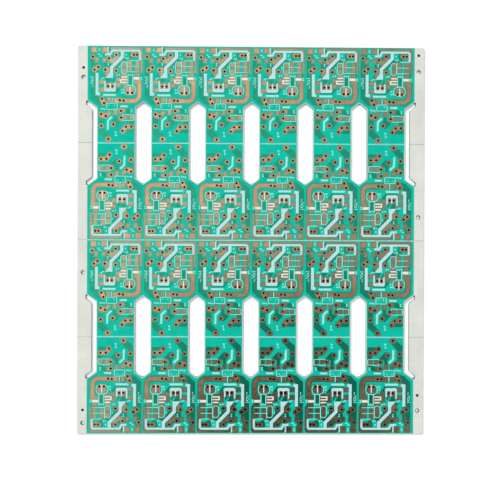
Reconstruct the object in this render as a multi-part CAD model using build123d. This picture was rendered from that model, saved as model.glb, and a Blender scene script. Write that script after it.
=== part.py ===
"""Panel of metal core circuit boards, lying flat with its copper side up.

Twenty-four like boards hang together in a grid of columns and rows, between two bare rails. Each
board has a wide head, two shoulders and a narrow neck. The rows stand neck to neck and head to head,
so two necks in line leave a slot between the columns. Score lines part the rows.

Frame: origin at the middle of the underside, +X across the columns, +Y along the boards, +Z up, out
of the copper side. All sizes are in millimetres.
"""
from build123d import *
from math import cos, pi, sin
import os

# Grid of boards
columns = 6
rows = 4
board_width = 24.0
board_length = 43.0
rail_width = 5.0

# Layers, from the underside up
core_thickness = 1.5
dielectric_thickness = 0.1
copper_thickness = 0.035
mask_thickness = 0.06
legend_thickness = 0.02

# Board outline
head_length = 24.8
shoulder_length = 2.5
neck_inset = 3.5

# Routed slots beside the rails
rail_slot_width = 2.2
rail_slot_reach = 1.4

# Score lines, cut from both faces
score_width = 0.4
score_depth = 0.5

# Tooling holes on the middle lines of the rails, each placed from the nearer end of the panel
large_hole_diameter = 2.0
small_hole_diameter = 1.3
small_hole_sides = 8
left_large_from_top = 13.9
left_large_from_bottom = 4.7
left_small_from_top = 9.7
left_small_from_bottom = 10.4
right_large_from_top = 10.8
right_large_from_bottom = 10.3
right_small_from_top = 3.4
right_small_from_bottom = 17.0

# Solder mask: its pull-back from routed edges and its lap onto the rails
mask_border = 0.25
mask_rail_lap = 0.7

# Exposed copper
terminal_pad_width = 2.0
terminal_pad_length = 2.0
lead_pad_width = 2.1
bus_track_width = 1.5
bus_bend_radius = 2.6
bus_bend_steps = 2
terminal_pad_shares = ((0.085, 0.077), (0.285, 0.076))
lead_pad_shares = ((0.223, 0.918), (0.287, 1.048))
bus_track_shares = ((0.923, 0.612), (0.923, 0.983), (0.463, 0.983))

# White legend strokes, in shares of the head or of the neck
frame_stroke_width = 1.0
heavy_stroke_width = 1.4
bar_width = 1.3
bent_stroke_width = 0.85
frame_shares = ((0.383, 0.155), (0.42, 0.084), (0.923, 0.084), (0.936, 0.257))
zigzag_shares = ((0.609, 0.08), (0.609, 0.197), (0.409, 0.39), (0.409, 0.573))
foot_shares = ((0.383, 0.47), (0.383, 0.573), (0.3, 0.573))
side_bar_shares = ((0.144, 0.488), (0.144, 0.86), (0.197, 0.86))
cradle_shares = ((0.293, 0.627), (0.293, 0.795), (0.474, 0.795), (0.474, 0.657))
under_bar_shares = ((0.258, 0.88), (0.496, 0.88))
pin_bar_shares = ((0.818, 0.58), (0.926, 0.58))
bent_stroke_shares = ((0.424, 0.266), (0.347, 0.37), (0.342, 0.624))

# How far a cutting body runs past what it cuts
cut_overrun = 1.0

# Sizes that follow from those above
grid_width = columns * board_width
panel_width = grid_width + 2 * rail_width
panel_length = rows * board_length
neck_width = board_width - 2 * neck_inset
neck_length = board_length - head_length - shoulder_length
shoulder_slope = shoulder_length / neck_inset
dielectric_top = core_thickness + dielectric_thickness
mask_top = dielectric_top + mask_thickness
rail_middle = (grid_width + rail_width) / 2
column_lines = [(column - columns / 2) * board_width for column in range(1, columns)]
score_lines = [panel_length / 2 - row * board_length for row in range(1, rows)]
neck_lines = score_lines[::2]
upward = (0, 0, 1)


def board_centre(column):
    """X of a column's middle line."""
    return (column + 1 / 2) * board_width - grid_width / 2


def row_place(row):
    """Where a row's own frame, head end up, sits on the panel: every second row is turned round."""
    middle = panel_length / 2 - (row + 1 / 2) * board_length
    return Pos(0, middle) * Rot(0, 0, 180 * (row % 2))


def on_head(shares):
    """Points of a board's head, from shares of the board's width and of the head's length."""
    return [
        Vector((across - 1 / 2) * board_width, board_length / 2 - down * head_length)
        for across, down in shares
    ]


def on_neck(shares):
    """Points of a board's neck, from shares of the board's width and of the neck's length."""
    neck_start = neck_length - board_length / 2
    return [
        Vector((across - 1 / 2) * board_width, neck_start - down * neck_length)
        for across, down in shares
    ]


def stroke(points, width):
    """A line of even width along a run of points, with mitred corners and square ends."""
    runs = [(end - start).normalized() for start, end in zip(points, points[1:])]
    sides = [run.rotate(Axis.Z, 90) for run in runs]
    mitres = [(one + other) / (1 + one.dot(other)) for one, other in zip(sides, sides[1:])]
    across = [sides[0], *mitres, sides[-1]]
    left = [point + side * (width / 2) for point, side in zip(points, across)]
    right = [point - side * (width / 2) for point, side in zip(points, across)]
    return Polygon(*left, *reversed(right), align=None)


def column_slot():
    """The six-sided slot that two pairs of necks leave between them."""
    straight = neck_length
    tip = neck_length + shoulder_length
    return Polygon(
        (neck_inset, straight), (0, tip), (-neck_inset, straight),
        (-neck_inset, -straight), (0, -tip), (neck_inset, -straight),
        align=None,
    )


def rail_slot():
    """The routed slot along the right-hand necks, whose slanted ends reach into the rail."""
    inner = grid_width / 2 - neck_inset
    outer = inner + rail_slot_width
    end = grid_width / 2 + rail_slot_reach
    inner_end = neck_length + (end - inner) * shoulder_slope
    outer_end = inner_end - rail_slot_width
    outer_corner = outer_end - (end - outer) * shoulder_slope
    upper = [(inner, neck_length), (end, inner_end), (end, outer_end), (outer, outer_corner)]
    lower = [(x, -y) for x, y in reversed(upper)]
    return Polygon(*upper, *lower, align=None)


def tooling_holes():
    """Holes in the rails: a large and a small one near each end."""
    top = panel_length / 2
    large = Circle(large_hole_diameter / 2)
    small = RegularPolygon(small_hole_diameter / 2, small_hole_sides)
    left = -rail_middle
    right = rail_middle
    return [
        Pos(left, top - left_large_from_top) * large,
        Pos(left, left_large_from_bottom - top) * large,
        Pos(left, top - left_small_from_top) * small,
        Pos(left, left_small_from_bottom - top) * small,
        Pos(right, top - right_large_from_top) * large,
        Pos(right, right_large_from_bottom - top) * large,
        Pos(right, top - right_small_from_top) * small,
        Pos(right, right_small_from_bottom - top) * small,
    ]


def panel_outline():
    """The panel's plan, with its slots and tooling holes open."""
    slot = column_slot()
    right_slot = rail_slot()
    left_slot = mirror(right_slot, about=Plane.YZ)
    cuts = tooling_holes()
    for y in neck_lines:
        cuts += [Pos(x, y) * slot for x in column_lines]
        cuts += [Pos(0, y) * right_slot, Pos(0, y) * left_slot]
    return Rectangle(panel_width, panel_length) - cuts


def score_cuts():
    """V-shaped bars along the score lines, one sunk into each face."""
    height = score_depth + cut_overrun
    half_width = score_width / 2 * height / score_depth
    profile = Plane.YZ * Polygon((0, 0), (half_width, height), (-half_width, height), align=None)
    bar = extrude(profile, panel_width / 2 + cut_overrun, both=True)
    upper = [Pos(0, y, dielectric_top - score_depth) * bar for y in score_lines]
    lower = [Pos(0, y, score_depth) * Rot(180, 0, 0) * bar for y in score_lines]
    return upper + lower


def panel_layer(bottom, thickness):
    """One full layer of the panel, scored across."""
    layer = Pos(0, 0, bottom) * extrude(panel_outline(), thickness, dir=upward)
    return layer - score_cuts()


def bus_track():
    """The broad track that bends round the head's lower corner in a few even steps."""
    start, corner, end = on_head(bus_track_shares)
    along = (corner - start).normalized()
    away = (end - corner).normalized()
    centre = corner + (away - along) * bus_bend_radius
    turns = [step / bus_bend_steps * pi / 2 for step in range(bus_bend_steps + 1)]
    bend = [centre + (along * sin(turn) - away * cos(turn)) * bus_bend_radius for turn in turns]
    return stroke([start, *bend, end], bus_track_width)


def exposed_copper():
    """The larger bare copper fields of one board, which the mask leaves open."""
    terminal = Rectangle(terminal_pad_width, terminal_pad_length)
    terminals = [Pos(point) * terminal for point in on_head(terminal_pad_shares)]
    return [*terminals, stroke(on_head(lead_pad_shares), lead_pad_width), bus_track()]


def legend_strokes():
    """The heavy white strokes of one board."""
    frame = stroke(on_head(frame_shares), frame_stroke_width)
    zigzag = stroke(on_head(zigzag_shares), heavy_stroke_width)
    foot = Polygon(*on_head(foot_shares), align=None)
    return [
        frame + zigzag + foot,
        stroke(on_head(side_bar_shares), bar_width),
        stroke(on_head(cradle_shares), bar_width),
        stroke(on_head(under_bar_shares), bar_width),
        stroke(on_head(pin_bar_shares), bar_width),
        stroke(on_neck(bent_stroke_shares), bent_stroke_width),
    ]


def mask_outline(head_gap):
    """The mask's plan on one row, in the row's own frame.

    It runs across all the boards, stops short of the routed edges and of the score lines, and laps
    a little onto the rails. head_gap is its pull-back at the row's head end.
    """
    half_neck = neck_width / 2 - mask_border
    shoulder_rise = mask_border * (1 + shoulder_slope ** 2) ** (1 / 2)
    head_foot = board_length / 2 - head_length + shoulder_rise
    neck_top = head_foot - (board_width / 2 - half_neck) * shoulder_slope
    neck_foot = (score_width - board_length) / 2
    side = grid_width / 2 + mask_rail_lap
    side_foot = head_foot + mask_rail_lap * shoulder_slope
    head_top = board_length / 2 - head_gap
    points = [(-side, side_foot), (-side, head_top), (side, head_top), (side, side_foot)]
    for column in reversed(range(columns)):
        x = board_centre(column)
        points += [
            (x + half_neck, neck_top), (x + half_neck, neck_foot),
            (x - half_neck, neck_foot), (x - half_neck, neck_top),
        ]
        if column > 0:
            points.append((x - board_width / 2, head_foot))
    return Polygon(*points, align=None)


def mask_strip(row):
    """The solder mask of one row, with a window over every bare copper field."""
    at_panel_end = row in (0, rows - 1)
    strip = mask_outline(0 if at_panel_end else score_width / 2)
    windows = [Pos(board_centre(column)) * field for column in range(columns) for field in exposed_copper()]
    film = extrude(strip - windows, mask_thickness, dir=upward)
    return Pos(0, 0, dielectric_top) * row_place(row) * film


def board_films(row, column, fields, bottom, thickness):
    """Films of one board, each extruded from its plan and set on the layer below."""
    place = Pos(0, 0, bottom) * row_place(row) * Pos(board_centre(column))
    films = [place * extrude(field, thickness, dir=upward) for field in fields]
    return Compound(children=films)


def main():
    """Builds every node and writes it to its own file."""
    nodes = {
        "aluminium_core": panel_layer(0, core_thickness),
        "dielectric_layer": panel_layer(core_thickness, dielectric_thickness),
    }
    copper = exposed_copper()
    legend = legend_strokes()
    for row in range(rows):
        nodes[f"solder_mask_row_{row + 1}"] = mask_strip(row)
        for column in range(columns):
            board = f"row_{row + 1}_board_{column + 1}"
            nodes[f"copper_{board}"] = board_films(row, column, copper, dielectric_top, copper_thickness)
            nodes[f"legend_{board}"] = board_films(row, column, legend, mask_top, legend_thickness)
    os.makedirs("parts", exist_ok=True)
    for name, shape in nodes.items():
        export_step(shape, f"parts/{name}.step")


main()
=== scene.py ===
"""Looks of a panel of metal core circuit boards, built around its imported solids.

The panel lies flat with its copper side up: six columns by four rows of like boards between two bare
rails. Every film of the panel is drawn as closed loops in plan, split into triangles, and raised
between two heights. Plan points are complex numbers, x + iy, in millimetres; meshes are in metres.
"""

import logging
from dataclasses import dataclass, field
from enum import Enum, auto
from math import pi, radians
from typing import Any, Callable, Sequence, Union

import bpy
import numpy as np
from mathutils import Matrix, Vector
from mathutils.geometry import delaunay_2d_cdt


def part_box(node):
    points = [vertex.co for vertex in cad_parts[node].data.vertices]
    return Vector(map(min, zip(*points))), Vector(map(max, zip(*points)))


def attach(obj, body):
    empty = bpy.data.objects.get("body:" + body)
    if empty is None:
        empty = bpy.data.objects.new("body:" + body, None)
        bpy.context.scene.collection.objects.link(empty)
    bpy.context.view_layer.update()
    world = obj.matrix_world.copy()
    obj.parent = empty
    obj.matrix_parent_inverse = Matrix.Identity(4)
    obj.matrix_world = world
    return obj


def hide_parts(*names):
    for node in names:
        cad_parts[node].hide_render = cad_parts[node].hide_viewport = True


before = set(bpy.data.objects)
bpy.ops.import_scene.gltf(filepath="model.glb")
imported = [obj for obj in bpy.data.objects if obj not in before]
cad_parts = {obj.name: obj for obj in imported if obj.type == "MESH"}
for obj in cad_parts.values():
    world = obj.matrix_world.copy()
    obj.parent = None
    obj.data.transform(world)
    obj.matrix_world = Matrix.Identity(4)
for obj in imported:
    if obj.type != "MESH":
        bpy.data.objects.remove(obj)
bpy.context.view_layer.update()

LOG = logging.getLogger("circuit_panel")
METRES_PER_MM = 0.001
TONE_ATTRIBUTE = "tone"
WALL_ATTRIBUTE = "wall"
BORE_ATTRIBUTE = "bore"
HALF_TONE = 0.5
# Radians of a wave texture's bands in one unit of length, at scale 1
WAVE_RADIANS = 20
WHITE = (1.0, 1.0, 1.0)
BLACK = (0.0, 0.0, 0.0)
# Sockets of the mix node that take and give colours
MIX_FIRST, MIX_SECOND, MIX_RESULT = 6, 7, 2
# The triangulation's setting that keeps all triangles between the loops
WHOLE_PLANE = 0

Loop = np.ndarray
Height = Callable[[np.ndarray], np.ndarray]
Colour = tuple[float, float, float]
# The two ends of an uneven colour: deep, stained or thin first
Tint = tuple[Colour, Colour]
Point = tuple[float, float]
Box = tuple[float, float, float, float]
Line = tuple[tuple[Point, ...], float]


class Ends(Enum):
    """How a drawn stroke ends."""

    SQUARE = auto()
    ROUND = auto()


class Zone(Enum):
    """What a closed loop of a plan encloses."""

    SHEET = auto()
    OPENING = auto()
    BORE = auto()
    TONED = auto()
    HALF_TONED = auto()
    GUIDE = auto()


def unit(vectors: Loop) -> Loop:
    """Plan vectors scaled to length one."""
    return vectors / np.abs(vectors)


def circle(centre: complex, radius: float, sides: int) -> Loop:
    """Corners of a round loop: the centre plus radius times exp(i angle), at even angles."""
    return centre + radius * np.exp(2j * np.pi * np.arange(sides) / sides)


def round_corners(corners: Loop, radius: float, steps: int) -> Loop:
    """Turns every corner into an arc that touches both of its sides.

    With t the turn at a corner, the arc starts radius * tan(t / 2) before the corner, its centre lies
    one radius to the inner side, and its points turn about that centre by even shares of t.

    Args:
        corners: Corners in order, where the first and the last aren't rounded.
        radius: Radius of the arcs.
        steps: Straight steps in one arc.

    Returns:
        The path with its inner corners rounded.
    """
    runs = unit(np.diff(corners))
    before = runs[:-1]
    turn = np.angle(runs[1:] / before)
    inward = 1j * before * np.sign(turn)
    centre = corners[1:-1] - before * radius * np.tan(np.abs(turn) / 2) + inward * radius
    share = np.linspace(0, 1, steps + 1)
    arcs = centre[:, None] - inward[:, None] * radius * np.exp(1j * turn[:, None] * share)
    return np.concatenate([corners[:1], arcs.ravel(), corners[-1:]])


def round_loop(corners: Loop, radius: float, steps: int) -> Loop:
    """The same for a closed loop, whose corners are all rounded."""
    wrapped = np.concatenate([corners[-1:], corners, corners[:1]])
    return round_corners(wrapped, radius, steps)[1:-1]


def stroke(path: Loop, width: float, ends: Ends = Ends.SQUARE, cap_steps: int = 6) -> Loop:
    """Outline of a line of even width, with mitred corners.

    Each side is the path moved half a width along the corner's mitre, which is the sum of the two
    runs' side vectors over one plus their product. A round end is a half turn about the end point.

    Args:
        path: Points that the middle of the line follows.
        width: Width of the line.
        ends: Square or round ends.
        cap_steps: Straight steps in a round end.

    Returns:
        One closed loop, counter-clockwise.
    """
    runs = unit(np.diff(path))
    sides = 1j * runs
    mitres = (sides[:-1] + sides[1:]) / (1 + (sides[:-1] * sides[1:].conj()).real)
    across = np.concatenate([sides[:1], mitres, sides[-1:]]) * width / 2
    half_turn = np.exp(1j * np.linspace(-np.pi / 2, np.pi / 2, cap_steps + 1)[1:-1]) * width / 2
    if ends is Ends.SQUARE:
        half_turn = half_turn[:0]
    far_cap = path[-1] + runs[-1] * half_turn
    near_cap = path[0] - runs[0] * half_turn
    return np.concatenate([path - across, far_cap, (path + across)[::-1], near_cap])


def block(centre: complex, width: float, height: float) -> Loop:
    """Corners of an upright rectangle about its centre."""
    return centre + (np.array([-1, 1, 1, -1]) * width + np.array([-1j, -1j, 1j, 1j]) * height) / 2


def outlined(corners: Loop, width: float) -> Loop:
    """A line of even width along a closed loop, which starts and ends in the middle of a side."""
    start = (corners[:1] + corners[1:2]) / 2
    return stroke(np.concatenate([start, corners[1:], corners[:1], start]), width)


def facing_up(loop: Loop) -> Loop:
    """The loop, turned round if it runs clockwise: its area is half the sum of its cross products."""
    area = (loop.conj() * np.roll(loop, -1)).imag.sum() / 2
    return loop if area > 0 else loop[::-1]


@dataclass
class Split:
    """A plan's triangles.

    Args:
        points: Corners of the triangles.
        triangles: Three corner numbers to a row, counter-clockwise.
        inside: For each zone, which triangles lie in one of its loops.
        bored: Which points lie on the rim of a drilled hole.
    """

    points: Loop
    triangles: np.ndarray
    inside: dict[Zone, np.ndarray]
    bored: np.ndarray

    def kept(self) -> np.ndarray:
        """Triangles of the sheet that no opening or drilled hole takes away."""
        return self.inside[Zone.SHEET] & ~self.inside[Zone.OPENING] & ~self.inside[Zone.BORE]

    def repeated(self, places: Loop, turn: complex) -> "Split":
        """Copies of the split side by side, each turned and then moved to its place."""
        turned = turn * self.points + places[:, None]
        steps = np.arange(len(places)) * len(self.points)
        triangles = (self.triangles + steps[:, None, None]).reshape(-1, 3)
        inside = {zone: np.tile(flags, len(places)) for zone, flags in self.inside.items()}
        return Split(turned.ravel(), triangles, inside, np.tile(self.bored, len(places)))


@dataclass
class Plan:
    """A flat drawing made of closed loops, each of one zone."""

    zones: list[Zone] = field(default_factory=list)
    loops: list[Loop] = field(default_factory=list)
    tolerance: float = 1e-5

    def add(self, zone: Zone, loops: Sequence[Loop]) -> "Plan":
        """Adds loops of one zone and returns the plan."""
        self.zones += [zone] * len(loops)
        self.loops += [facing_up(loop) for loop in loops]
        return self

    def split(self) -> Split:
        """Cuts the plane along every loop into triangles, and notes the zones that hold each of them."""
        sizes = np.array([len(loop) for loop in self.loops])
        starts = np.cumsum(sizes) - sizes
        rims = [list(range(start, start + size)) for start, size in zip(starts.tolist(), sizes.tolist())]
        drawn = np.concatenate(self.loops)
        corners = np.stack([drawn.real, drawn.imag], axis=1).tolist()
        cut = delaunay_2d_cdt(corners, [], rims, WHOLE_PLANE, self.tolerance, True)
        points, _, triangles, sources, _, owners = cut
        flat = np.array(points, dtype=float)
        counts = np.fromiter(map(len, owners), dtype=int, count=len(owners))
        of_triangle = np.repeat(np.arange(len(owners)), counts)
        zone_numbers = np.array([zone.value for zone in self.zones])
        of_zone = zone_numbers[np.concatenate([np.array(owner, dtype=int) for owner in owners])]
        inside = {zone: np.zeros(len(owners), dtype=bool) for zone in Zone}
        for zone, flags in inside.items():
            flags[of_triangle[of_zone == zone.value]] = True
        on_bore = np.repeat(zone_numbers == Zone.BORE.value, sizes)
        bored = np.array([on_bore[source].any() for source in sources])
        return Split(flat[:, 0] + 1j * flat[:, 1], np.array(triangles, dtype=int), inside, bored)


@dataclass
class ClosedSheet:
    """A closed body between two heights over the kept triangles of a plan.

    Args:
        split: The plan's triangles.
        keep: Which of them the body covers.
        low: Height of the lower face at a plan point.
        high: Height of the upper face at a plan point.
    """

    split: Split
    keep: np.ndarray
    low: Height
    high: Height

    def rim_edges(self, triangles: np.ndarray, count: int) -> np.ndarray:
        """Directed edges that only one kept triangle has, with the body on their left."""
        edges = np.concatenate([triangles[:, [0, 1]], triangles[:, [1, 2]], triangles[:, [2, 0]]])
        forward = edges[:, 0] * count + edges[:, 1]
        backward = edges[:, 1] * count + edges[:, 0]
        return edges[~np.isin(forward, backward)]

    def build(self, name: str) -> bpy.types.Object:
        """Makes the body: the kept triangles above, the same turned over below, and walls on every rim.

        Three values are kept on its faces: on the upper face tone is 1 in the plan's toned loops and a half
        in its half-toned ones, wall is 1 on the walls, and bore is 1 on the walls of drilled holes.

        Args:
            name: Name of the new object.

        Returns:
            The new object, with its place in its mesh.
        """
        used, triangles = np.unique(self.split.triangles[self.keep], return_inverse=True)
        triangles = triangles.reshape(-1, 3)
        points = self.split.points[used]
        count = len(points)
        rims = self.rim_edges(triangles, count)
        walls = np.concatenate([rims + count, rims[:, ::-1]], axis=1)
        places = np.concatenate([points, points])
        heights = np.concatenate([self.high(points), self.low(points)])
        corners = np.stack([places.real, places.imag, heights], axis=1) * METRES_PER_MM
        flat_faces = np.concatenate([triangles, triangles[:, ::-1] + count])
        mesh = bpy.data.meshes.new(name)
        mesh.from_pydata(corners.tolist(), [], flat_faces.tolist() + walls.tolist())
        mesh.update(calc_edges=True)
        mesh.shade_flat()
        tone = np.where(self.split.inside[Zone.HALF_TONED], HALF_TONE, self.split.inside[Zone.TONED])
        tones, is_wall, is_bore = np.zeros((3, len(mesh.polygons)), dtype=np.float32)
        tones[: len(triangles)] = tone[self.keep]
        is_wall[len(flat_faces):] = 1
        is_bore[len(flat_faces):] = self.split.bored[used][rims].all(axis=1)
        for label, values in ((TONE_ATTRIBUTE, tones), (WALL_ATTRIBUTE, is_wall), (BORE_ATTRIBUTE, is_bore)):
            mesh.attributes.new(label, "FLOAT", "FACE").data.foreach_set("value", values)
        mesh.validate()
        return linked(name, mesh)


def linked(name: str, data: bpy.types.ID) -> bpy.types.Object:
    """A new object with the given data, in the scene."""
    made = bpy.data.objects.new(name, data)
    bpy.context.scene.collection.objects.link(made)
    return made


def level(height: float) -> Height:
    """A height that is the same all over the plan."""
    return lambda points: np.full(len(points), height)


class Value:
    """A socket that gives a number; arithmetic on it adds Math nodes."""

    def __init__(self, graph: "Graph", socket: bpy.types.NodeSocket) -> None:
        """Keeps the socket and the graph that it belongs to."""
        self.graph = graph
        self.socket = socket

    def calculate(self, operation: str, first: "Input", second: "Input") -> "Value":
        """Adds one Math node."""
        return self.graph.node("ShaderNodeMath", {"operation": operation}, {0: first, 1: second})

    def __add__(self, other: "Input") -> "Value":
        """This value plus another."""
        return self.calculate("ADD", self, other)

    def __rsub__(self, other: "Input") -> "Value":
        """Another less this value."""
        return self.calculate("SUBTRACT", other, self)

    def __mul__(self, other: "Input") -> "Value":
        """This value times another."""
        return self.calculate("MULTIPLY", self, other)

    def __pow__(self, power: "Input") -> "Value":
        """This value to a power."""
        return self.calculate("POWER", self, power)

    __radd__ = __add__
    __rmul__ = __mul__


Input = Union[Value, float, Sequence[float], str]


@dataclass(frozen=True)
class Noise:
    """Soft noise.

    Args:
        patch_mm: About how far its patches lie apart.
        detail: How many finer layers lie on it.
        low: The value that becomes 0.
        high: The value that becomes 1.
    """

    patch_mm: float
    detail: float = 2.0
    low: float = 0.0
    high: float = 1.0


@dataclass(frozen=True)
class Relief:
    """Fine unevenness of a surface: its depth, and how strongly it turns the light."""

    depth_mm: float
    strength: float


class Graph:
    """A node tree that is filled from expressions."""

    def __init__(self, owner: Union[bpy.types.Material, bpy.types.World]) -> None:
        """Turns the owner's nodes on and empties its tree."""
        owner.use_nodes = True
        self.tree = owner.node_tree
        self.tree.nodes.clear()

    def node(self, kind: str, settings: dict[str, Any], inputs: dict[Any, Input], output: Any = 0) -> Value:
        """Adds one node.

        Args:
            kind: Type of the node.
            settings: Properties that are set first.
            inputs: Values or links, by a socket's name or number.
            output: Name or number of the socket that is returned.

        Returns:
            The chosen output.
        """
        made = self.tree.nodes.new(kind)
        for name, setting in settings.items():
            setattr(made, name, setting)
        for key, given in inputs.items():
            if isinstance(given, Value):
                self.tree.links.new(given.socket, made.inputs[key])
            else:
                made.inputs[key].default_value = given
        return Value(self, made.outputs[output]) if made.outputs else Value(self, None)

    def mix(self, share: Value, first: Union[Value, Colour], second: Union[Value, Colour]) -> Value:
        """A colour between two others."""
        start, end = (colour if isinstance(colour, Value) else opaque(colour) for colour in (first, second))
        inputs = {"Factor": share, MIX_FIRST: start, MIX_SECOND: end}
        return self.node("ShaderNodeMix", {"data_type": "RGBA"}, inputs, MIX_RESULT)

    def place(self) -> Value:
        """A point of the piece in the panel's own frame, in metres."""
        return self.node("ShaderNodeTexCoord", {}, {}, "Object")

    def face_value(self, name: str) -> Value:
        """A value kept on the piece's faces."""
        return self.node("ShaderNodeAttribute", {"attribute_name": name}, {}, "Fac")

    def tones(self) -> tuple[Value, Value]:
        """How far the faces' tone is from 0 to a half, and how far from a half to 1."""
        tone = self.face_value(TONE_ATTRIBUTE)
        return self.spread(tone, 0.0, HALF_TONE), self.spread(tone, HALF_TONE, 1.0)

    def cloud(self, noise: Noise, place: Union[Value, None] = None) -> Value:
        """Soft noise that runs from 0 to 1."""
        scale = 1 / (noise.patch_mm * METRES_PER_MM)
        where = self.place() if place is None else place
        soft = self.node("ShaderNodeTexNoise", {}, {"Vector": where, "Scale": scale, "Detail": noise.detail})
        return self.spread(soft, noise.low, noise.high)

    def spread(self, value: Value, low: float, high: float) -> Value:
        """A value stretched so that low gives 0 and high gives 1, and held there."""
        limits = {"Value": value, "From Min": low, "From Max": high}
        return self.node("ShaderNodeMapRange", {"clamp": True}, limits)

    def bump(self, height: Value, relief: Relief) -> Value:
        """A normal that follows a height."""
        depth = relief.depth_mm * METRES_PER_MM
        inputs = {"Height": height, "Distance": depth, "Strength": relief.strength}
        return self.node("ShaderNodeBump", {}, inputs)

    def surface(self, inputs: dict[str, Input]) -> Value:
        """Adds the surface shader with the given inputs."""
        return self.node("ShaderNodeBsdfPrincipled", {}, inputs)

    def end(self, shader: Value, kind: str = "ShaderNodeOutputMaterial") -> None:
        """Links a shader to the tree's output."""
        self.node(kind, {}, {"Surface": shader})


def opaque(colour: Colour) -> tuple[float, float, float, float]:
    """A colour with full cover."""
    return (*colour, 1.0)


@dataclass(frozen=True)
class Finish:
    """What every finish shares: its material's name, and how smooth and how rough it is."""

    name: str = "finish"
    smoothest: float = 0.5
    roughest: float = 0.5

    def material(self) -> bpy.types.Material:
        """A new material with this finish."""
        made = bpy.data.materials.new(self.name)
        graph = Graph(made)
        graph.end(self.shader(graph))
        return made

    def roughness(self, share: Value) -> Value:
        """Roughness, from the smoothest at 0 to the roughest at 1."""
        return self.smoothest + (self.roughest - self.smoothest) * share

    def shader(self, graph: Graph) -> Value:
        """The surface of this finish."""
        raise NotImplementedError


@dataclass(frozen=True)
class SolderMask(Finish):
    """Green mask: teal over the base, green with a metal glint over copper, olive where it thins at pads."""

    name: str = "solder_mask_green"
    smoothest: float = 0.10
    roughest: float = 0.15
    specular: float = 0.04
    teal: Tint = ((0.003, 0.510, 0.372), (0.008, 0.575, 0.425))
    olive: Tint = ((0.15, 0.39, 0.25), (0.22, 0.46, 0.30))
    green: Tint = ((0.018, 0.385, 0.238), (0.040, 0.445, 0.276))
    copper_glint: float = 0.85
    cloud: Noise = Noise(3.5, 4.0, 0.3, 0.7)
    grain: Noise = Noise(0.35)
    peel: Relief = Relief(0.006, 0.1)

    def shader(self, graph: Graph) -> Value:
        """Colour by what lies beneath, unevenness by slow noise, and a fine orange peel."""
        near_copper, over_copper = graph.tones()
        cloud = graph.cloud(self.cloud)
        grain = graph.cloud(self.grain)
        teal, olive, green = (graph.mix(cloud, *tint) for tint in (self.teal, self.olive, self.green))
        return graph.surface({
            "Base Color": graph.mix(over_copper, graph.mix(near_copper, teal, olive), green),
            "Metallic": near_copper * self.copper_glint,
            "Roughness": self.roughness(grain),
            "Specular IOR Level": self.specular,
            "Normal": graph.bump(grain, self.peel),
        })


@dataclass(frozen=True)
class BareCopper(Finish):
    """Copper under a thin clear preservative, stained in patches: warm at the leads, paler on pads."""

    name: str = "bare_copper_dulled"
    smoothest: float = 0.09
    roughest: float = 0.22
    lead: Tint = ((0.58, 0.28, 0.13), (0.97, 0.51, 0.25))
    pad: Tint = ((0.46, 0.32, 0.175), (0.64, 0.46, 0.27))
    stain: Noise = Noise(1.6, 4.0, 0.3, 0.72)
    tarnish: Noise = Noise(6.0, 2.0, 0.35, 0.65)
    stain_share: float = 0.5
    grain: Noise = Noise(0.12)
    brushing: Relief = Relief(0.004, 0.08)
    coat_index: float = 1.7

    def shader(self, graph: Graph) -> Value:
        """Small stains on slower tarnish, a fine brushed grain, and the clear coat."""
        stain = graph.cloud(self.stain)
        tarnish = graph.cloud(self.tarnish)
        clean = stain * self.stain_share + tarnish * (1 - self.stain_share)
        lead, pad = (graph.mix(clean, *tint) for tint in (self.lead, self.pad))
        return graph.surface({
            "Base Color": graph.mix(graph.face_value(TONE_ATTRIBUTE), lead, pad),
            "Metallic": 1.0,
            "Roughness": self.roughness(clean),
            "Coat Weight": 1.0,
            "Coat IOR": self.coat_index,
            "Coat Roughness": self.smoothest,
            "Normal": graph.bump(graph.cloud(self.grain), self.brushing),
        })


@dataclass(frozen=True)
class LegendInk(Finish):
    """White screened ink that lets a little of its ground through: mask, mask over copper, or pale base."""

    name: str = "legend_ink_white"
    smoothest: float = 0.5
    roughest: float = 0.7
    specular: float = 0.2
    on_mask: Tint = ((0.30, 0.84, 0.74), (0.40, 0.93, 0.84))
    on_copper: Tint = ((0.47, 0.74, 0.77), (0.58, 0.83, 0.85))
    on_base: Tint = ((0.80, 0.80, 0.70), (0.92, 0.90, 0.80))
    cover: Noise = Noise(0.9, 3.0, 0.3, 0.6)
    grain: Noise = Noise(0.15)
    relief: Relief = Relief(0.008, 0.3)

    def shader(self, graph: Graph) -> Value:
        """Cover that varies in small patches, over a fine grain; a tone of a half is ink over copper."""
        to_copper, to_base = graph.tones()
        cover = graph.cloud(self.cover)
        grain = graph.cloud(self.grain)
        tints = (self.on_mask, self.on_copper, self.on_base)
        on_mask, on_copper, on_base = (graph.mix(cover, *tint) for tint in tints)
        return graph.surface({
            "Base Color": graph.mix(to_base, graph.mix(to_copper, on_mask, on_copper), on_base),
            "Roughness": self.roughness(grain),
            "Specular IOR Level": self.specular,
            "Normal": graph.bump(grain, self.relief),
        })


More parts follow.
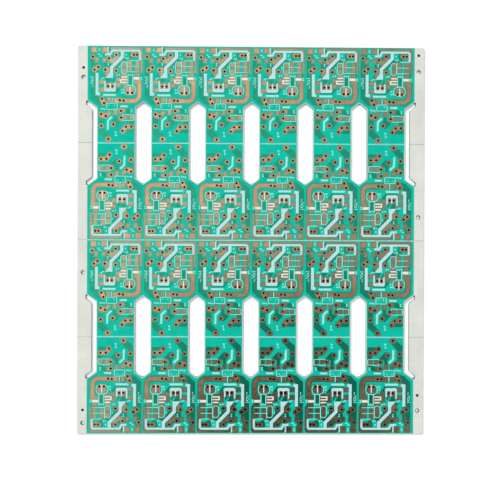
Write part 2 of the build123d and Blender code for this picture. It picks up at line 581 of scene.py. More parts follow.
@dataclass(frozen=True)
class PaleDielectric(Finish):
    """Cream filled resin, with the faint check of the glass cloth in it."""

    name: str = "dielectric_cream"
    smoothest: float = 0.45
    roughest: float = 0.65
    specular: float = 0.2
    cream: Tint = ((0.68, 0.71, 0.64), (0.84, 0.86, 0.79))
    cloud: Noise = Noise(9.0, 5.0, 0.25, 0.75)
    check_mm: float = 3.1416
    check_distortion: float = 0.4
    check_detail: float = 1.0
    check_share: float = 0.12
    weave: Relief = Relief(0.01, 0.15)

    def shader(self, graph: Graph) -> Value:
        """Slow cloudiness with a fine woven check: the mean of two sets of bands at right angles."""
        bands = {
            "Vector": graph.place(),
            "Scale": 2 * pi / (WAVE_RADIANS * self.check_mm * METRES_PER_MM),
            "Distortion": self.check_distortion,
            "Detail": self.check_detail,
        }
        warp = graph.node("ShaderNodeTexWave", {"bands_direction": "X"}, bands, "Fac")
        weft = graph.node("ShaderNodeTexWave", {"bands_direction": "Y"}, bands, "Fac")
        check = (warp + weft) * (1 / 2)
        share = graph.cloud(self.cloud) * (1 - self.check_share) + check * self.check_share
        return graph.surface({
            "Base Color": graph.mix(share, *self.cream),
            "Roughness": self.roughness(check),
            "Specular IOR Level": self.specular,
            "Normal": graph.bump(check, self.weave),
        })


@dataclass(frozen=True)
class RolledAluminium(Finish):
    """Mill-finished aluminium: rolled faces; milled walls, duller and also darkened as painted shade;
    drilled holes painted near black as painted shade; and scores painted pale as painted highlight.
    """

    name: str = "aluminium_rolled"
    smoothest: float = 0.30
    roughest: float = 0.48
    specular: float = 0.2
    rolled: Tint = ((0.62, 0.63, 0.65), (0.80, 0.81, 0.82))
    # Partly real, partly painted shade: milled walls are duller cut metal, darkened further to stand for the
    # shade along slot edges
    milled: Tint = ((0.28, 0.29, 0.30), (0.46, 0.47, 0.48))
    # Painted shade: near-black colour of the lead holes' bore walls, standing for the shade inside the holes
    drilled: Tint = ((0.016, 0.010, 0.006), (0.060, 0.036, 0.020))
    # Painted highlight: the scores are coloured pale, mint on the boards, to offset the V-grooves' own shade
    # and read as bright lines
    board_score_highlight: Colour = (0.40, 1.0, 0.94)
    rail_score_highlight: Colour = (0.80, 0.84, 0.82)
    lines: Noise = Noise(0.25, 3.0)
    line_stretch: float = 60.0
    line_share: float = 0.6
    patches: Noise = Noise(14.0, 3.0)
    wall_dulling: float = 0.5
    wall_roughening: float = 0.3
    rolling: Relief = Relief(0.004, 0.2)

    def shader(self, graph: Graph) -> Value:
        """Noise drawn out along the panel's length, for both colour and roughness."""
        drawn_out = {"Vector": graph.place(), "Scale": (1.0, 1 / self.line_stretch, 1.0)}
        lines = graph.cloud(self.lines, graph.node("ShaderNodeMapping", {}, drawn_out))
        patches = graph.cloud(self.patches)
        wall = graph.face_value(WALL_ATTRIBUTE)
        bore = graph.face_value(BORE_ATTRIBUTE)
        score, on_board = graph.tones()
        streaks = lines * self.line_share + patches * (1 - self.line_share)
        rolled = graph.mix(streaks, *self.rolled)
        milled, drilled = (graph.mix(lines, *tint) for tint in (self.milled, self.drilled))
        # Painted highlight colour of the scores, on the rails and on the boards
        scored = graph.mix(on_board, self.rail_score_highlight, self.board_score_highlight)
        # Walls take the milled colour with its painted shade, and bore walls take the painted shade of the
        # holes
        unscored = graph.mix(wall, rolled, graph.mix(bore, milled, drilled))
        return graph.surface({
            "Base Color": graph.mix(score, unscored, scored),
            # Metal is off on bore walls and scores, so their painted shade and painted highlight show as
            # painted; walls keep half
            "Metallic": (1.0 - wall * self.wall_dulling) * (1.0 - bore) * (1.0 - score),
            "Roughness": self.roughness(lines) + wall * self.wall_roughening,
            "Specular IOR Level": self.specular,
            "Normal": graph.bump(lines, self.rolling),
        })


@dataclass
class BoardArtwork:
    """One board's drawing, in millimetres from its left edge and down from its head end."""

    width: float
    length: float
    hole_diameter: float = 1.05
    hole_sides: int = 20
    ring_diameter: float = 1.65
    ring_sides: int = 24
    bend_steps: int = 8
    window_gap: float = 0.02
    lead_holes: tuple[Point, ...] = (
        (1.56, 4.85), (8.74, 5.56), (11.93, 3.93), (19.7, 3.93), (21.15, 3.93), (2.3, 10.63),
        (3.93, 9.48), (7.11, 10.63), (11.93, 11.07), (8.37, 17.96), (10.26, 17.96), (17.07, 20.81),
        (19.04, 20.81), (5.67, 23.48), (6.56, 25.41), (13.56, 24.11), (15.22, 24.3), (5.37, 30.26),
        (7.33, 31.11), (14.07, 28.81), (14.15, 31.78), (5.41, 35.48), (10.7, 34.81), (16.3, 35.85),
        (14.81, 37.7), (18.67, 35.78), (8.52, 41.3),
    )
    # Middle, width and height of each bare rectangular field: the two terminals, and the parts' pads
    terminals: tuple[Box, ...] = ((2.1, 1.8, 2.1, 2.0), (6.85, 1.78, 2.1, 2.0))
    pads: tuple[Box, ...] = (
        (3.3, 6.3, 1.1, 1.6), (6.65, 6.3, 1.0, 1.5),
        (15.45, 8.25, 1.5, 1.6), (15.35, 10.9, 1.3, 1.6),
        (17.95, 7.6, 1.3, 1.9), (18.0, 10.15, 1.2, 1.7),
        (21.2, 7.75, 1.3, 1.7), (21.1, 10.15, 1.4, 1.7),
        (5.55, 16.05, 1.8, 1.4), (5.6, 19.5, 1.8, 1.3),
        (8.15, 17.75, 1.3, 2.0), (10.4, 17.75, 1.2, 2.0),
        (12.9, 14.95, 1.4, 1.4), (12.9, 17.35, 1.5, 1.5),
        (15.5, 12.95, 2.1, 0.7), (15.5, 14.4, 2.2, 0.42), (15.7, 15.65, 1.8, 0.42), (15.35, 16.95, 1.9, 0.5),
        (21.15, 12.85, 1.8, 0.9), (21.05, 15.9, 1.7, 1.3),
        (16.9, 19.6, 1.3, 3.0), (19.15, 19.6, 1.2, 3.0),
        (8.8, 24.0, 1.3, 1.8), (11.75, 24.1, 1.4, 1.7),
        (11.6, 29.4, 1.1, 2.0), (15.2, 28.65, 1.2, 1.3), (15.9, 31.75, 1.2, 1.3), (18.6, 31.75, 1.3, 1.6),
    )
    # Path and width of each bare field that joins leads
    lead_tracks: tuple[Line, ...] = (
        (((2.3, 10.63), (3.93, 9.48)), 1.35),
        (((7.11, 10.63), (7.9, 10.45)), 1.5),
        (((19.2, 3.93), (21.15, 3.93)), 1.4),
        (((5.67, 23.48), (6.56, 25.41)), 1.7),
        (((5.37, 30.26), (7.33, 31.11)), 1.5),
        (((5.4, 31.15), (6.8, 31.45)), 1.1),
        (((14.15, 31.78), (14.15, 32.4)), 1.4),
        (((14.81, 37.7), (16.3, 35.85), (18.67, 35.78)), 1.45),
        (((8.15, 41.3), (8.9, 41.3)), 1.7),
    )
    # Path and width of each bare stretch of conductor beside the leads
    side_tracks: tuple[Line, ...] = (
        (((8.74, 5.56), (10.15, 6.95)), 1.5),
        (((10.15, 6.95), (12.4, 4.95), (11.93, 3.93)), 1.1),
        (((8.0, 10.6), (8.2, 11.7), (7.6, 12.6)), 0.8),
        (((7.33, 31.11), (8.8, 29.6)), 1.3),
    )
    bus_track: tuple[Point, ...] = ((22.15, 15.18), (22.15, 24.38), (11.11, 24.38))
    bus_width: float = 1.5
    bus_under_mask: float = 2.9
    bus_bend: float = 2.6
    edge_track: tuple[Point, ...] = ((9.4, 1.05), (23.1, 1.05), (23.1, 12.0))
    edge_width: float = 0.45
    edge_bend: float = 0.7
    # Corners of the copper that stays under the mask
    pours: tuple[tuple[Point, ...], ...] = (
        (
            (0.55, 3.35), (3.3, 3.35), (3.1, 4.2), (4.15, 5.4), (4.15, 7.9), (4.8, 8.8), (4.1, 10.2),
            (3.9, 11.85), (2.8, 12.0), (2.8, 21.5), (4.3, 22.6), (5.2, 22.2), (6.3, 22.3),
            (7.2, 23.1), (9.65, 22.9), (9.65, 25.05), (7.8, 25.05), (6.9, 26.2), (5.3, 26.2),
            (3.1, 25.5), (2.1, 24.3), (0.55, 23.0),
        ),
        (
            (6.0, 5.45), (7.6, 4.6), (10.2, 4.6), (11.2, 2.8), (14.1, 2.6), (14.6, 4.6), (9.8, 9.5),
            (9.4, 11.8), (7.3, 13.9), (5.7, 13.75), (6.7, 11.9), (6.3, 10.5), (6.8, 8.9),
            (6.6, 7.4), (6.0, 6.8),
        ),
        (
            (10.4, 10.0), (15.2, 5.4), (16.7, 6.0), (16.4, 6.9), (14.9, 7.0), (14.0, 8.1),
            (13.0, 8.6), (12.9, 10.2), (13.4, 11.0), (12.9, 11.95), (10.5, 11.95),
        ),
        ((8.7, 0.6), (9.9, 0.6), (9.9, 1.5), (9.2, 2.8), (8.7, 2.8)),
        (
            (9.5, 0.6), (23.0, 0.6), (23.5, 1.1), (23.5, 12.0), (22.6, 13.6), (19.95, 13.5),
            (19.95, 11.7), (22.5, 11.7), (22.6, 1.35), (9.5, 1.35),
        ),
        ((17.5, 2.7), (22.15, 2.7), (22.15, 3.7), (20.4, 4.9), (18.7, 5.9), (17.9, 5.8), (17.5, 4.6)),
        ((17.4, 12.9), (18.9, 12.9), (18.9, 17.2), (17.4, 17.2)),
        ((7.45, 18.95), (7.45, 14.45), (10.3, 14.25), (9.7, 15.2), (9.2, 16.3), (9.2, 18.95)),
        ((9.75, 18.95), (9.9, 16.5), (10.9, 14.8), (11.3, 14.8), (11.1, 18.95)),
        (
            (6.6, 20.35), (11.6, 20.35), (12.1, 19.9), (12.1, 18.6), (13.8, 18.6), (13.7, 19.2),
            (12.9, 19.9), (12.2, 20.95), (6.6, 20.95),
        ),
        ((20.0, 15.1), (22.2, 15.1), (23.1, 16.0), (23.1, 17.5), (21.0, 17.5), (20.0, 16.8)),
        ((10.85, 22.85), (15.2, 22.85), (16.5, 23.6), (16.5, 25.3), (10.85, 25.2)),
        (
            (13.0, 28.7), (13.7, 27.7), (17.6, 27.75), (18.4, 28.4), (18.7, 29.4), (19.7, 29.8),
            (19.85, 38.0), (19.3, 38.55), (14.3, 38.4), (13.8, 37.2), (15.2, 36.4), (15.8, 34.6),
            (17.1, 34.7), (17.85, 34.2), (17.85, 30.0), (13.8, 29.65),
        ),
        (
            (10.9, 28.3), (12.3, 28.3), (12.3, 32.6), (13.3, 33.1), (14.3, 33.2), (14.2, 33.9),
            (12.2, 36.0), (11.6, 36.3), (10.2, 35.8), (9.85, 34.6), (10.3, 33.1), (10.9, 32.8),
        ),
        (
            (4.25, 30.0), (4.6, 29.3), (6.2, 29.2), (7.6, 29.5), (8.1, 28.4), (9.75, 28.4), (9.7, 30.2),
            (8.4, 31.0), (7.3, 32.4), (6.4, 33.1), (6.75, 35.0), (6.6, 37.2), (8.2, 38.9),
            (10.1, 40.7), (10.1, 41.6), (9.4, 42.2), (8.1, 42.2), (6.3, 40.8), (4.25, 39.0),
        ),
    )
    pour_corner: float = 0.2
    pour_corner_steps: int = 3
    fringe: float = 0.5
    # Path and width of each heavy white stroke over copper
    heavy_strokes: tuple[Line, ...] = (
        (((7.0, 3.85), (9.2, 3.85), (10.1, 2.1), (21.9, 2.1), (22.45, 2.75), (22.47, 6.4)), 0.9),
        (((8.3, 0.5), (8.3, 3.6)), 0.55),
        (((14.62, 2.0), (14.62, 4.88), (9.82, 9.68), (9.82, 14.2)), 1.4),
        (((3.45, 12.05), (3.45, 21.35), (4.75, 21.35)), 1.25),
        (((6.98, 15.55), (6.98, 19.62), (11.38, 19.62), (11.38, 16.3)), 0.7),
        (((7.0, 19.62), (11.4, 19.62)), 1.35),
    )
    # Path and width of each heavy white stroke over the bare base
    light_strokes: tuple[Line, ...] = (
        (((6.2, 21.82), (11.9, 21.82)), 0.85),
        (((13.8, 26.8), (17.0, 26.8)), 0.8),
        (((10.2, 31.45), (8.38, 33.15), (8.25, 37.25)), 0.85),
    )
    stroke_foot: tuple[Point, ...] = ((9.2, 11.7), (9.2, 14.2), (7.2, 14.2))
    # Middle, width and height of the ink bars between pins, which lie on the pale base
    pin_bars: tuple[Box, ...] = (
        (15.45, 13.77, 2.5, 0.6), (15.15, 15.04, 3.1, 0.55), (15.15, 16.26, 3.1, 0.55),
        (13.92, 15.65, 0.6, 1.4), (20.95, 14.35, 2.6, 1.15), (9.28, 17.8, 0.5, 2.4), (18.07, 19.7, 0.5, 3.2),
    )
    # Path and width of each fine ink line
    fine_lines: tuple[Line, ...] = (
        (
            (
                (17.1, 17.45), (17.1, 12.75), (17.75, 12.85), (18.2, 13.3), (18.65, 12.85), (19.3, 12.75),
                (19.3, 17.45),
            ),
            0.3,
        ),
        (((16.9, 17.55), (19.5, 17.55)), 0.3),
        (((16.75, 6.5), (16.75, 11.5), (22.1, 11.5)), 0.26),
        (((16.75, 8.98), (22.1, 8.98)), 0.26),
        (((18.2, 6.45), (22.2, 6.45)), 0.3),
        (((10.2, 23.0), (10.2, 25.2)), 0.3),
    )
    # Middle, width, height and corner radius of each part's drawn outline
    part_frames: tuple[tuple[float, float, float, float, float], ...] = (
        (15.4, 9.65, 2.5, 5.2, 1.0), (10.15, 26.85, 4.6, 2.75, 0.2), (17.2, 31.8, 5.0, 2.55, 0.4),
        (17.95, 19.55, 5.2, 4.1, 1.9),
    )
    frame_line: float = 0.28
    # Middle, width and height of the plain ticks that stand where marks would be
    ticks: tuple[Box, ...] = (
        (4.45, 1.4, 0.55, 0.5), (4.45, 2.1, 0.55, 0.5), (4.3, 3.8, 0.9, 0.45), (5.1, 4.6, 1.0, 0.45),
        (8.4, 7.6, 0.6, 0.5), (8.4, 8.4, 0.6, 0.5), (13.35, 9.3, 0.5, 0.5), (16.3, 3.9, 0.5, 0.8),
        (17.1, 5.5, 0.5, 0.7), (16.2, 5.6, 0.5, 0.5), (5.7, 14.6, 0.7, 0.5), (6.45, 14.1, 0.7, 0.5),
        (12.3, 13.0, 0.6, 0.5), (13.3, 12.8, 0.6, 0.5), (14.35, 19.55, 0.7, 0.5), (14.3, 20.75, 0.55, 0.6),
        (15.0, 20.75, 0.5, 0.6), (23.0, 14.0, 0.6, 0.45), (23.0, 14.75, 0.6, 0.45), (5.3, 27.95, 0.8, 0.5),
        (6.2, 28.05, 0.6, 0.5), (7.0, 28.15, 0.6, 0.5), (18.8, 28.45, 0.55, 0.55), (18.8, 29.25, 0.55, 0.55),
        (11.75, 38.25, 0.8, 0.5), (11.8, 39.05, 0.4, 0.5), (11.95, 39.8, 0.9, 0.5), (1.0, 13.9, 0.7, 0.4),
        (1.8, 13.9, 0.45, 0.4), (1.5, 14.7, 0.9, 0.4), (0.95, 15.4, 0.5, 0.4), (1.8, 15.4, 0.5, 0.4),
        (1.4, 16.15, 0.9, 0.4), (0.95, 16.75, 0.5, 0.4), (1.7, 17.3, 0.4, 0.4), (1.6, 18.1, 0.4, 0.6),
        (8.9, 26.4, 0.6, 0.2), (11.2, 26.45, 0.6, 0.2), (11.2, 26.45, 0.2, 0.6),
    )

    def at(self, place: Point) -> complex:
        """A plan point about the board's middle, from its place on the drawing."""
        across, down = place
        return complex(across - self.width / 2, self.length / 2 - down)

    def path(self, places: Sequence[Point]) -> Loop:
        """Plan points of a run of places."""
        return np.array([self.at(place) for place in places])

    def blocks(self, rows: Sequence[Box], grow: float = 0.0) -> list[Loop]:
        """Rectangles from rows of middle, width and height, each side moved out by grow."""
        return [block(self.at((x, y)), wide + 2 * grow, high + 2 * grow) for x, y, wide, high in rows]

    def holes(self) -> list[Loop]:
        """The drilled lead holes."""
        return [circle(self.at(place), self.hole_diameter / 2, self.hole_sides) for place in self.lead_holes]

    def bus_path(self) -> Loop:
        """Middle line of the bent bus track."""
        return round_corners(self.path(self.bus_track), self.bus_bend, self.bend_steps)

    def warm_copper(self, grow: float = 0.0) -> list[Loop]:
        """The terminals and the bus track, moved out by grow."""
        return [*self.blocks(self.terminals, grow), stroke(self.bus_path(), self.bus_width + 2 * grow)]

    def pale_copper(self, grow: float = 0.0) -> list[Loop]:
        """The paler bare fields, which are pads, side tracks and the edge track, moved out by grow."""
        edge = round_corners(self.path(self.edge_track), self.edge_bend, self.bend_steps)
        edge_field = stroke(edge, self.edge_width + 2 * grow)
        return [*self.blocks(self.pads, grow), *self.tracks(self.side_tracks, grow), edge_field]

    def tracks(self, rows: Sequence[Line], grow: float = 0.0) -> list[Loop]:
        """Strokes with round ends from rows of path and width, each side moved out by grow."""
        return [stroke(self.path(places), width + 2 * grow, Ends.ROUND) for places, width in rows]

    def rings(self, grow: float = 0.0) -> list[Loop]:
        """A round field at each lead, its radius larger by grow."""
        radius = self.ring_diameter / 2 + grow
        return [circle(self.at(place), radius, self.ring_sides) for place in self.lead_holes]

    def copper(self, grow: float = 0.0) -> list[Loop]:
        """All bare copper: rings and fields at the leads, warm fields and pale ones, moved out by grow."""
        lead_fields = self.rings(grow) + self.tracks(self.lead_tracks, grow)
        return [*lead_fields, *self.warm_copper(grow), *self.pale_copper(grow)]

    def windows(self) -> list[Loop]:
        """Openings of the mask, a little larger than the copper in them."""
        return self.copper(self.window_gap)

    def conductors(self) -> list[Loop]:
        """Copper under the mask: poured fields, and the bus's full width."""
        pours = [
            round_loop(facing_up(self.path(corners)), self.pour_corner, self.pour_corner_steps)
            for corners in self.pours
        ]
        return [*pours, stroke(self.bus_path(), self.bus_under_mask)]

    def fringes(self) -> list[Loop]:
        """The mask's thin margin round every bare field."""
        return self.copper(self.fringe)

    def lines(self, rows: Sequence[Line]) -> list[Loop]:
        """Strokes with square ends from rows of path and width."""
        return [stroke(self.path(places), width) for places, width in rows]

    def ink_over_copper(self) -> list[Loop]:
        """The heavy strokes that lie over copper."""
        return [*self.lines(self.heavy_strokes), self.path(self.stroke_foot)]

    def ink_over_base(self) -> list[Loop]:
        """The other white ink on the mask: lighter strokes, fine outlines and plain ticks."""
        frames = []
        for x, y, wide, high, corner in self.part_frames:
            outline = round_loop(block(self.at((x, y)), wide, high), corner, self.bend_steps)
            frames.append(outlined(outline, self.frame_line))
        return [*self.lines(self.light_strokes + self.fine_lines), *frames, *self.blocks(self.ticks)]


@dataclass
class PanelPlan:
    """The panel's grid and cut-outs, in millimetres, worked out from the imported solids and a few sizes."""

    columns: int = 6
    rows: int = 4
    rail_width: float = 5.0
    head_length: float = 24.8
    shoulder_length: float = 2.5
    neck_inset: float = 3.5
    rail_slot_width: float = 2.2
    rail_slot_reach: float = 1.4
    slot_corner: float = 0.5
    slot_corner_steps: int = 4
    score_width: float = 0.4
    score_depth: float = 0.5
    large_hole: float = 2.0
    small_hole: float = 1.3
    hole_sides: int = 40
    left_large: Point = (13.9, 4.7)
    left_small: Point = (9.7, 10.4)
    right_large: Point = (10.8, 10.3)
    right_small: Point = (3.4, 17.0)
    left_middle: float = 100.5
    right_middle: float = 75.5
    mask_border: float = 0.25
    mask_rail_lap: float = 0.7
    mask_score_gap: float = 0.26

    def __post_init__(self) -> None:
        """Reads the panel's size and the layers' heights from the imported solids."""
        low, high = (np.array(corner) / METRES_PER_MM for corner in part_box("aluminium_core"))
        self.width, self.length = (high - low)[:2]
        self.core_low, self.core_high = low[2], high[2]
        self.face = self.top_of("dielectric_layer")
        self.copper_high = self.top_of("copper_row_1_board_1")
        self.mask_high = self.top_of("solder_mask_row_1")
        self.ink_high = self.top_of("legend_row_1_board_1")
        self.grid_width = self.width - 2 * self.rail_width
        self.board_width = self.grid_width / self.columns
        self.board_length = self.length / self.rows
        self.neck_length = self.board_length - self.head_length - self.shoulder_length
        self.slope = self.shoulder_length / self.neck_inset

    @staticmethod
    def top_of(node: str) -> float:
        """Height of a solid's upper face."""
        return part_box(node)[1].z / METRES_PER_MM

    def column_middles(self) -> np.ndarray:
        """Middle line of each column."""
        return (np.arange(self.columns) + 0.5) * self.board_width - self.grid_width / 2

    def row_middle(self, row: int) -> float:
        """Middle line of a row, from the top row down."""
        return self.length / 2 - (row + 0.5) * self.board_length

    def row_turn(self, row: int) -> int:
        """1 for a row with its heads up, and -1 for one that is turned half round."""
        return 1 - 2 * (row % 2)

    def score_lines(self) -> np.ndarray:
        """Lines between the rows."""
        return self.length / 2 - np.arange(1, self.rows) * self.board_length

    def scored(self, height: float, half_width: float, rise: float) -> Height:
        """A height with V-shaped scores: it rises in full on a score line, and evenly less beside it."""

        def height_at(points: Loop) -> np.ndarray:
            """The height at each plan point."""
            away = np.abs(points.imag[:, None] - self.score_lines()).min(axis=1)
            return height + rise * np.clip(1 - away / half_width, 0, None)

        return height_at

    def column_slot(self) -> Loop:
        """The six-sided slot that two pairs of necks leave between them."""
        straight, tip = self.neck_length, self.neck_length + self.shoulder_length
        half = np.array([self.neck_inset + 1j * straight, 1j * tip, -self.neck_inset + 1j * straight])
        return round_loop(np.concatenate([half, -half]), self.slot_corner, self.slot_corner_steps)

    def rail_slot(self) -> Loop:
        """The routed slot along the right-hand necks, whose slanted ends reach into the rail."""
        inner = self.grid_width / 2 - self.neck_inset
        outer = inner + self.rail_slot_width
        end = self.grid_width / 2 + self.rail_slot_reach
        inner_end = self.neck_length + (end - inner) * self.slope
        outer_end = inner_end - self.rail_slot_width
        outer_corner = outer_end - (end - outer) * self.slope
        across = np.array([inner, end, end, outer])
        upper = across + 1j * np.array([self.neck_length, inner_end, outer_end, outer_corner])
        loop = facing_up(np.concatenate([upper, upper.conj()[::-1]]))
        return round_loop(loop, self.slot_corner, self.slot_corner_steps)

    def slots(self) -> list[Loop]:
        """Every routed slot of the panel, at each second score line, where necks meet."""
        lines = (np.arange(1, self.columns) - self.columns / 2) * self.board_width
        found = []
        for y in self.score_lines()[::2]:
            found += [x + 1j * y + self.column_slot() for x in lines]
            found += [1j * y + self.rail_slot(), 1j * y - self.rail_slot()]
        return found

    def tooling_holes(self) -> list[Loop]:
        """Round holes on the rails' middle lines, placed from the nearer end, or from the top if midway."""
        rail = (self.grid_width + self.rail_width) / 2
        rows = (
            (-rail, self.left_large, self.large_hole), (-rail, self.left_small, self.small_hole),
            (rail, self.right_large, self.large_hole), (rail, self.right_small, self.small_hole),
        )
        places = [(-rail, self.left_middle, self.large_hole), (rail, self.right_middle, self.large_hole)]
        for x, (from_top, from_bottom), diameter in rows:
            places += [(x, from_top, diameter), (x, self.length - from_bottom, diameter)]
        return [
            circle(x + 1j * (self.length / 2 - down), diameter / 2, self.hole_sides)
            for x, down, diameter in places
        ]

    def boards(self, loops: Sequence[Loop], row: int) -> list[Loop]:
        """A board's loops, repeated over all the boards of a row."""
        turn = self.row_turn(row)
        middle = 1j * self.row_middle(row)
        return [turn * (x + loop) + middle for x in self.column_middles() for loop in loops]

    def mask_outline(self, row: int) -> Loop:
        """The mask's outline on a row: short of routed edges and scores, and lapping onto the rails."""
        half_neck = self.board_width / 2 - self.neck_inset - self.mask_border
        foot = self.board_length / 2 - self.head_length + self.mask_border * np.hypot(1, self.slope)
        neck_top = foot - (self.board_width / 2 - half_neck) * self.slope
        neck_foot = self.mask_score_gap - self.board_length / 2
        side = self.grid_width / 2 + self.mask_rail_lap
        side_foot = foot + self.mask_rail_lap * self.slope
        at_panel_end = row in (0, self.rows - 1)
        head = self.board_length / 2 - (0 if at_panel_end else self.mask_score_gap)
        corners = [side + 1j * side_foot, side + 1j * head, -side + 1j * head, -side + 1j * side_foot]
        for index, x in enumerate(self.column_middles()):
            if index > 0:
                corners.append(x - self.board_width / 2 + 1j * foot)
            corners += [
                x - half_neck + 1j * neck_top, x - half_neck + 1j * neck_foot,
                x + half_neck + 1j * neck_foot, x + half_neck + 1j * neck_top,
            ]
        return self.row_turn(row) * np.array(corners) + 1j * self.row_middle(row)


@dataclass(frozen=True)
class BoardFilm:
    """A film that lies alike on every board.

    Args:
        piece: First part of its pieces' names.
        solid: First part of its solids' names.
        slot: The record's slot for its material; not used.
        finish: Its material.
        split: One board's triangles.
        low: Height of its lower face.
        high: Height of its upper face.
    """

    piece: str
    solid: str
    slot: str
    finish: bpy.types.Material
    split: Split
    low: float
    high: float


@dataclass
class CircuitPanel:
    """The panel's pieces: core plate, dielectric, and the mask, copper and ink of each row."""

    plan: PanelPlan
    body: str = "root"

    def __post_init__(self) -> None:
        """Makes the artwork, and the mask's material, which all rows share."""
        self.art = BoardArtwork(self.plan.board_width, self.plan.board_length)
        self.mask_finish = SolderMask().material()

    def settle(
        self, piece: bpy.types.Object, finish: bpy.types.Material, nodes: Sequence[str]
    ) -> None:
        """Dresses a piece, lets it stand for its solids, and reports it.

        Args:
            piece: The new piece.
            finish: Its material.
            nodes: Solids that the piece stands for.
        """
        piece.data.materials.append(finish)
        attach(piece, self.body)
        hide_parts(*nodes)
        faces = len(piece.data.polygons)
        LOG.info("%s: %d faces, stands for %d solids", piece.name, faces, len(nodes))

    def panel_split(self, half_score: float) -> Split:
        """The whole panel with its slots and holes, cut along the score lines and beside them."""
        plan = self.plan
        outline = block(0, plan.width, plan.length)
        scores = [block(1j * y, plan.width * 2, half_score * 2) for y in plan.score_lines()]
        reach = plan.rail_width + plan.rail_slot_width
        rail = (plan.width - reach) / 2
        rail_middles = [x + 1j * y for y in plan.score_lines() for x in (-rail, rail)]
        on_rails = [block(middle, reach, half_score * 2) for middle in rail_middles]
        halves = [block(1j * (y + half_score / 2), plan.width * 2, half_score) for y in plan.score_lines()]
        leads = [loop for row in range(plan.rows) for loop in plan.boards(self.art.holes(), row)]
        drawing = Plan().add(Zone.SHEET, [outline]).add(Zone.TONED, scores).add(Zone.GUIDE, halves)
        drawing.add(Zone.HALF_TONED, on_rails)
        drawing.add(Zone.OPENING, plan.slots() + plan.tooling_holes())
        return drawing.add(Zone.BORE, leads).split()

    def core_plate(self) -> None:
        """The aluminium plate: both faces dip along the score lines, and every hole goes through."""
        plan = self.plan
        left_depth = plan.score_depth - (plan.face - plan.core_high)
        half_top = plan.score_width / 2 * left_depth / plan.score_depth
        split = self.panel_split(half_top)
        low = plan.scored(plan.core_low, half_top, left_depth)
        high = plan.scored(plan.core_high, half_top, -left_depth)
        plate = ClosedSheet(split, split.kept(), low, high).build("core_plate")
        self.settle(plate, RolledAluminium().material(), ["aluminium_core"])

    def dielectric_sheet(self) -> None:
        """The pale sheet on the plate, parted by the scores."""
        plan = self.plan
        split = self.panel_split(plan.score_width / 2)
        keep = split.kept() & ~split.inside[Zone.TONED]
        sheet = ClosedSheet(split, keep, level(plan.core_high), level(plan.face)).build("dielectric_sheet")
        self.settle(sheet, PaleDielectric().material(), ["dielectric_layer"])

    def mask_row(self, row: int) -> None:
        """One row's mask, open over the bare copper and marked where copper lies under it."""
        plan, art = self.plan, self.art
        drawing = Plan().add(Zone.SHEET, [plan.mask_outline(row)])
        drawing.add(Zone.OPENING, plan.boards(art.windows(), row))
        drawing.add(Zone.TONED, plan.boards(art.conductors(), row))
        drawing.add(Zone.HALF_TONED, plan.boards(art.fringes(), row))
        split = drawing.split()
        heights = level(plan.face), level(plan.mask_high)
        film = ClosedSheet(split, split.kept(), *heights).build(f"mask_film_row_{row + 1}")
        self.settle(film, self.mask_finish, [f"solder_mask_row_{row + 1}"])

    def copper(self) -> BoardFilm:
        """The bare copper of a board, drilled at each lead."""
        drawing = Plan().add(Zone.SHEET, self.art.copper()).add(Zone.BORE, self.art.holes())
        drawing.add(Zone.TONED, self.art.pale_copper())
        drawing.add(Zone.HALF_TONED, self.art.warm_copper())
        heights = self.plan.face, self.plan.copper_high
        finish = BareCopper().material()
        return BoardFilm("copper_fields", "copper", "bare_copper", finish, drawing.split(), *heights)

    def legend(self) -> BoardFilm:
        """The white ink of a board, which keeps off the mask's windows."""
        bars = self.art.blocks(self.art.pin_bars)
        heavy = self.art.ink_over_copper()
        drawing = Plan().add(Zone.SHEET, heavy + self.art.ink_over_base() + bars)
        drawing.add(Zone.HALF_TONED, heavy).add(Zone.TONED, bars)
        drawing.add(Zone.OPENING, self.art.windows())
        heights = self.plan.mask_high, self.plan.ink_high
        finish = LegendInk().material()
        return BoardFilm("legend_marks", "legend", "legend_ink", finish, drawing.split(), *heights)

    def lay(self, film: BoardFilm, row: int) -> None:
        """Lays a film on all the boards of a row, as one piece."""
        turn = self.plan.row_turn(row)
        places = turn * self.plan.column_middles() + 1j * self.plan.row_middle(row)
        films = film.split.repeated(places, turn)
        sheet = ClosedSheet(films, films.kept(), level(film.low), level(film.high))
        solids = [f"{film.solid}_row_{row + 1}_board_{column + 1}" for column in range(self.plan.columns)]
        self.settle(sheet.build(f"{film.piece}_row_{row + 1}"), film.finish, solids)

    def build(self) -> None:
        """Builds every piece, from the underside up."""
        self.core_plate()
        self.dielectric_sheet()
        board_films = self.copper(), self.legend()
        for row in range(self.plan.rows):
            self.mask_row(row)
            for film in board_films:
                self.lay(film, row)


@dataclass(frozen=True)
class DimPatch:
    """A darker part of the room.

    Args:
        place: Direction of its middle.
        spread: Angle at which it has faded, in radians.
        depth: Share of the light that it takes at its middle.
        power: How suddenly it fades.
    """

    place: tuple[float, float, float]
    spread: float
    depth: float
    power: float

    def left(self, graph: Graph, towards: Value) -> Value:
        """Share of the light that is left: 1 - depth * exp(-(angle / spread) to the power).

        Twice one less the cosine stands for the angle squared.
        """
        middle = tuple(Vector(self.place).normalized())
        product = {"operation": "DOT_PRODUCT"}
        cosine = graph.node("ShaderNodeVectorMath", product, {0: towards, 1: middle}, "Value")
        square = (1.0 - cosine) * (2 / self.spread ** 2)
        fall = square ** (self.power / 2)
        return 1.0 - self.depth * graph.node("ShaderNodeMath", {"operation": "EXPONENT"}, {0: fall * -1.0})


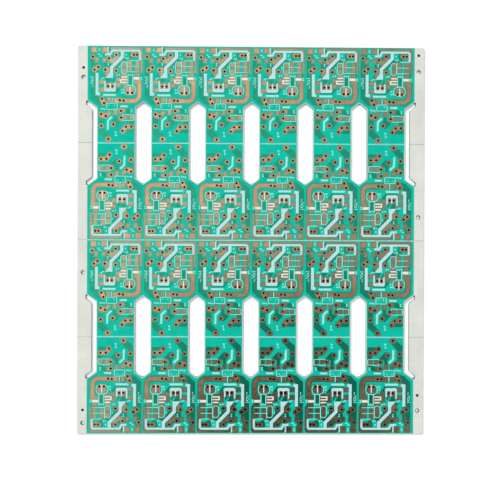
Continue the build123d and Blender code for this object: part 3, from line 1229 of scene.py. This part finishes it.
@dataclass
class Studio:
    """Camera, one lamp, the room's light and a pale floor, in metres and degrees."""

    lens: float = 85.0
    sensor: float = 36.0
    camera_place: tuple[float, float, float] = (-0.01170, -0.001865, 0.52670)
    camera_turn: tuple[float, float, float] = (-0.2734, -1.2294, 0.2276)
    nearest_seen: float = 0.01
    farthest_seen: float = 100.0
    key_distance: float = 3.5
    key_size: float = 0.95
    key_power: float = 58.0
    key_bearing: float = 125.0
    key_height: float = 58.0
    room_low: float = 0.5
    room_high: float = 1.13
    room_peak: float = 6.0
    near_dim: DimPatch = DimPatch((0.048, -0.160, 1.0), 0.132, 0.93, 3.6)
    wide_dim: DimPatch = DimPatch((0.451, 0.039, 1.0), 0.379, 0.9, 2.0)
    floor_size: float = 80.0
    floor_gap: float = 0.00005
    floor_colour: Colour = (0.97, 0.97, 0.97)
    floor_lift: float = 0.2
    # Painted shade on the floor: within this reach, ambient occlusion takes its colour and lift towards
    # black
    painted_shade_reach: float = 0.001
    painted_shade_samples: int = 16
    painted_shade_from: float = 0.40
    painted_shade_to: float = 0.62

    def camera(self) -> None:
        """The camera above the panel, with the photograph's view."""
        data = bpy.data.cameras.new("view_from_above")
        data.lens = self.lens
        data.sensor_width = self.sensor
        data.clip_start = self.nearest_seen
        data.clip_end = self.farthest_seen
        camera = linked("view_from_above", data)
        camera.location = self.camera_place
        camera.rotation_euler = [radians(turn) for turn in self.camera_turn]
        bpy.context.scene.camera = camera

    def key_lamp(self) -> None:
        """One broad soft lamp from the upper left."""
        data = bpy.data.lights.new("soft_key", "AREA")
        data.shape = "DISK"
        data.size = self.key_size
        data.energy = self.key_power
        lamp = linked("soft_key", data)
        bearing, height = radians(self.key_bearing), radians(self.key_height)
        flat = np.cos(height)
        towards = Vector((np.cos(bearing) * flat, np.sin(bearing) * flat, np.sin(height)))
        lamp.location = towards * self.key_distance
        lamp.rotation_mode = "QUATERNION"
        lamp.rotation_quaternion = (-towards).to_track_quat("-Z", "Y")

    def world(self) -> None:
        """Soft light that rises with the height's power from horizon to zenith, less two dim patches."""
        world = bpy.data.worlds.new("soft_room")
        graph = Graph(world)
        towards = graph.node("ShaderNodeTexCoord", {}, {}, "Generated")
        height = graph.spread(graph.node("ShaderNodeSeparateXYZ", {}, {0: towards}, "Z"), 0.0, 1.0)
        clear = self.room_low + (self.room_high - self.room_low) * height ** self.room_peak
        strength = clear * self.near_dim.left(graph, towards) * self.wide_dim.left(graph, towards)
        light = graph.node("ShaderNodeBackground", {}, {"Color": opaque(WHITE), "Strength": strength})
        graph.end(light, "ShaderNodeOutputWorld")
        bpy.context.scene.world = world

    def floor(self) -> None:
        """A pale floor just under the panel, lifted to white where it is seen, with painted shade that
        darkens it close to walls and in holes.
        """
        mesh = bpy.data.meshes.new("pale_floor")
        corners = block(0, self.floor_size, self.floor_size)
        flat = np.stack([corners.real, corners.imag, np.full(len(corners), -self.floor_gap)], axis=1)
        mesh.from_pydata(flat.tolist(), [], [list(range(len(corners)))])
        made = bpy.data.materials.new("pale_floor")
        graph = Graph(made)
        rays = ("Is Camera Ray", "Is Glossy Ray", "Is Transmission Ray")
        direct, mirrored, through = (graph.node("ShaderNodeLightPath", {}, {}, ray) for ray in rays)
        reach = {"Distance": self.painted_shade_reach}
        openness = graph.node("ShaderNodeAmbientOcclusion", {"samples": self.painted_shade_samples}, reach, "AO")
        # Painted shade: 0 where the floor is closed in by walls, 1 where it is open; it darkens both colour
        # and lift
        rim = graph.spread(openness, self.painted_shade_from, self.painted_shade_to)
        lift = (direct + mirrored + through) * rim * self.floor_lift
        paint = graph.node("ShaderNodeBsdfDiffuse", {}, {"Color": graph.mix(rim, BLACK, self.floor_colour)})
        glow = graph.node("ShaderNodeEmission", {}, {"Color": opaque(WHITE), "Strength": lift})
        graph.end(graph.node("ShaderNodeAddShader", {}, {0: paint, 1: glow}))
        mesh.materials.append(made)
        floor = linked("pale_floor", mesh)

    def build(self) -> None:
        """Sets up the view, the light and the floor."""
        bpy.context.scene.view_settings.view_transform = "Standard"
        self.camera()
        self.key_lamp()
        self.world()
        self.floor()


def main() -> None:
    """Builds the panel and the studio round it."""
    logging.basicConfig(level=logging.INFO, format="%(name)s %(message)s")
    CircuitPanel(PanelPlan()).build()
    Studio().build()


if __name__ == "__main__":
    main()
